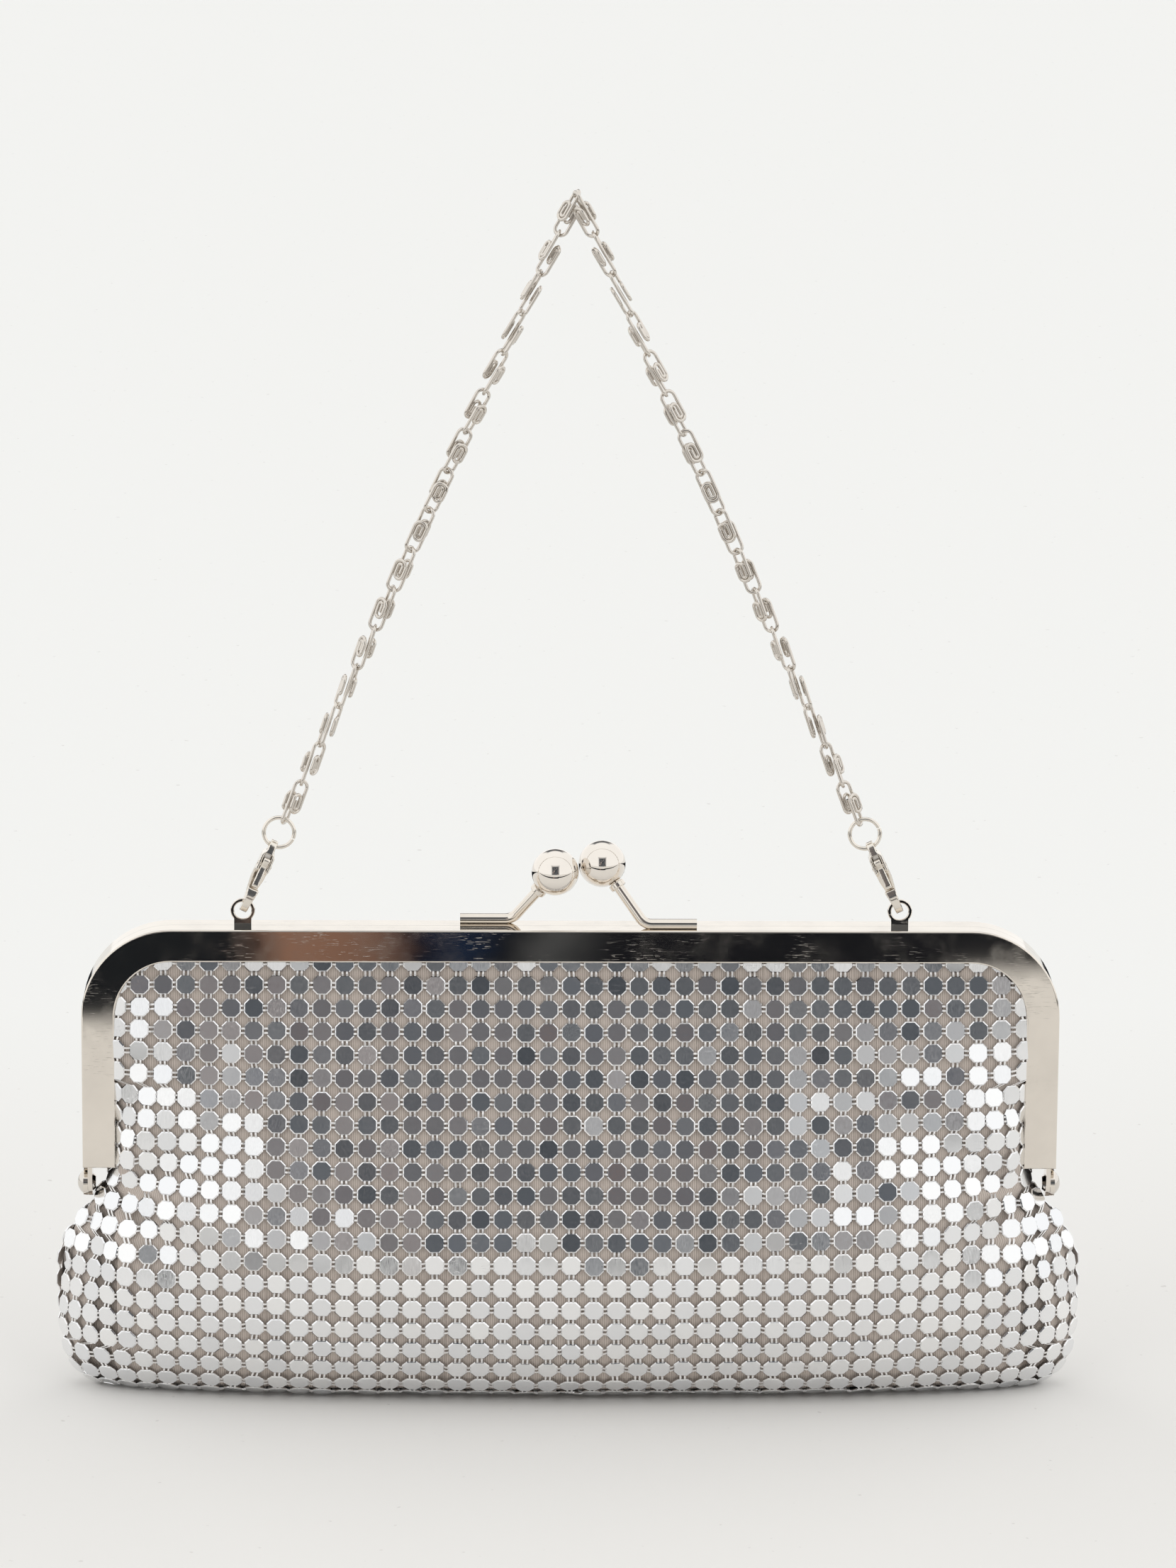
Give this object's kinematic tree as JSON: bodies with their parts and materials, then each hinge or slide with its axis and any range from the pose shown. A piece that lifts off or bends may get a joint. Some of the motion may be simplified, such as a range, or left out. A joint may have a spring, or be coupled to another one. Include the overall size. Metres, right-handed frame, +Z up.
{
  "type": "metal mesh evening bag",
  "caption": "Metal mesh evening clutch with a hinged kiss-lock frame, lined pouch and a scroll-link chain strap on lobster clasps.",
  "frame": {"origin": "middle of the flat base, on the surface that the bag stands on", "axes": "+Z up, +Y to the back, +X to the right when facing the front"},
  "size_m": [0.252, 0.054, 0.2987],
  "materials": {
    "nickel": "polished nickel plate, warm silver, fine handling scratches",
    "polished_nickel": "mirror-polished nickel plate",
    "rivet_steel": "peened steel, nickel plated",
    "clasp_metal": "cast and plated, polished",
    "spring_steel": "plain spring steel",
    "chain_wire": "nickel-plated round wire",
    "mesh_plates": "bright octagonal plates, bevelled, finely brushed",
    "lining_cloth": "finely ribbed beige cloth",
    "packing_paper": "twisted paper cord"
  },
  "bodies": {
    "root": {"back_frame": "nickel", "back_packing_cord": "packing_paper", "left_hinge_rivet": "rivet_steel", "right_hinge_rivet": "rivet_steel", "back_clasp_arm": "nickel", "back_clasp_collar": "nickel", "back_clasp_ball": "polished_nickel", "mesh_bag": "mesh_plates", "lining": "lining_cloth"},
    "front_half": {"front_frame": "nickel", "front_packing_cord": "packing_paper", "front_clasp_arm": "nickel", "front_clasp_collar": "nickel", "front_clasp_ball": "polished_nickel", "left_eyelet": "nickel", "right_eyelet": "nickel"},
    "strap_clasps": {"left_clasp_body": "clasp_metal", "left_clasp_pin": "clasp_metal", "left_clasp_spring": "spring_steel", "right_clasp_body": "clasp_metal", "right_clasp_pin": "clasp_metal", "right_clasp_spring": "spring_steel"},
    "left_gate": {"left_clasp_gate": "clasp_metal"},
    "right_gate": {"right_clasp_gate": "clasp_metal"},
    "strap_rings": {"left_jump_ring": "clasp_metal", "right_jump_ring": "clasp_metal"},
    "chain_low": {"left_chain_link_01": "chain_wire", "left_chain_link_02": "chain_wire", "left_chain_link_03": "chain_wire", "left_chain_link_04": "chain_wire", "right_chain_link_01": "chain_wire", "right_chain_link_02": "chain_wire", "right_chain_link_03": "chain_wire", "right_chain_link_04": "chain_wire"},
    "chain_mid_low": {"left_chain_link_05": "chain_wire", "left_chain_link_06": "chain_wire", "left_chain_link_07": "chain_wire", "left_chain_link_08": "chain_wire", "right_chain_link_05": "chain_wire", "right_chain_link_06": "chain_wire", "right_chain_link_07": "chain_wire", "right_chain_link_08": "chain_wire"},
    "chain_mid_high": {"left_chain_link_09": "chain_wire", "left_chain_link_10": "chain_wire", "left_chain_link_11": "chain_wire", "left_chain_link_12": "chain_wire", "right_chain_link_09": "chain_wire", "right_chain_link_10": "chain_wire", "right_chain_link_11": "chain_wire", "right_chain_link_12": "chain_wire"},
    "chain_high": {"left_chain_link_13": "chain_wire", "left_chain_link_14": "chain_wire", "left_chain_link_15": "chain_wire", "left_chain_link_16": "chain_wire", "right_chain_link_13": "chain_wire", "right_chain_link_14": "chain_wire", "right_chain_link_15": "chain_wire", "right_chain_link_16": "chain_wire"}
  },
  "joints": [
    {"name": "frame_open", "type": "hinge", "parent": "root", "child": "front_half", "pos_m": [0, 0, 0.052], "axis": [1, 0, 0], "range_deg": [0, 100], "deforming": ["mesh_bag", "lining"]},
    {"name": "strap_swing", "type": "hinge", "parent": "front_half", "child": "strap_clasps", "pos_m": [0, -0.0012, 0.12372], "axis": [-1, 0, 0], "range_deg": [-50, 50]},
    {"name": "left_gate_open", "type": "hinge", "parent": "strap_clasps", "child": "left_gate", "pos_m": [-0.07516, -0.0031, 0.13307], "axis": [0.9093, 0, -0.4161], "range_deg": [0, 25], "stiffness_Nm_per_rad": 0.001, "springref_deg": -11.46},
    {"name": "right_gate_open", "type": "hinge", "parent": "strap_clasps", "child": "right_gate", "pos_m": [0.07516, -0.0031, 0.13307], "axis": [0.9093, 0, 0.4161], "range_deg": [0, 25], "stiffness_Nm_per_rad": 0.001, "springref_deg": -11.46},
    {"name": "ring_swing", "type": "hinge", "parent": "strap_clasps", "child": "strap_rings", "pos_m": [0, -0.0012, 0.1375], "axis": [-1, 0, 0], "range_deg": [-12, 12]},
    {"name": "chain_swing", "type": "hinge", "parent": "strap_rings", "child": "chain_low", "pos_m": [0, -0.0012, 0.14423], "axis": [-1, 0, 0], "range_deg": [-12, 12]},
    {"name": "chain_fold_low", "type": "hinge", "parent": "chain_low", "child": "chain_mid_low", "pos_m": [0, -0.0012, 0.18219], "axis": [-1, 0, 0], "range_deg": [-10, 10]},
    {"name": "chain_fold_middle", "type": "hinge", "parent": "chain_mid_low", "child": "chain_mid_high", "pos_m": [0, -0.0012, 0.22075], "axis": [-1, 0, 0], "range_deg": [-10, 10]},
    {"name": "chain_fold_high", "type": "hinge", "parent": "chain_mid_high", "child": "chain_high", "pos_m": [0, -0.0012, 0.2593], "axis": [-1, 0, 0], "range_deg": [-10, 10]}
  ]
}
